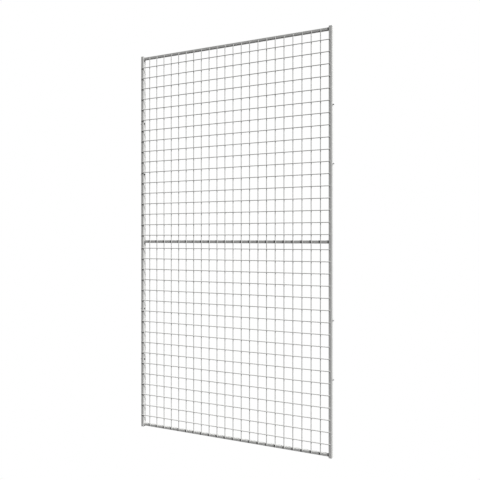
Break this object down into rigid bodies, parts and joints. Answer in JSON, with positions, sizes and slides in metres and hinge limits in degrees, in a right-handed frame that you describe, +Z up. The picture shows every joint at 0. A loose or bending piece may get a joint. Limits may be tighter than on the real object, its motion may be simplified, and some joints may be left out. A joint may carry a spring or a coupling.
{
  "type": "safety fence panel",
  "caption": "Machine guard fence panel: welded wire mesh on a frame of steel tubes, with screws standing out of both side tubes to fasten it between posts.",
  "frame": {"origin": "on the outer side face of the left stile, at the lower end of its tube and half-way through its depth", "axes": "+X from the left stile to the right one, +Z up along the stiles, +Y from the mesh side to the back"},
  "size_m": [1.014, 0.0239, 1.9],
  "materials": {
    "frame": "matt grey powder coat",
    "mesh": "matt grey powder coat on round wire",
    "screw": "dull zinc plating",
    "plug": "moulded grey plastic"
  },
  "bodies": {
    "root": {"left_stile": "frame", "right_stile": "frame", "bottom_rail": "frame", "middle_rail": "frame", "top_rail": "frame", "upper_mesh": "mesh", "lower_mesh": "mesh", "left_screw_1": "screw", "left_screw_2": "screw", "left_screw_3": "screw", "left_screw_4": "screw", "right_screw_1": "screw", "right_screw_2": "screw", "right_screw_3": "screw", "right_screw_4": "screw", "left_top_plug": "plug", "left_bottom_plug": "plug", "right_top_plug": "plug", "right_bottom_plug": "plug"}
  },
  "joints": []
}
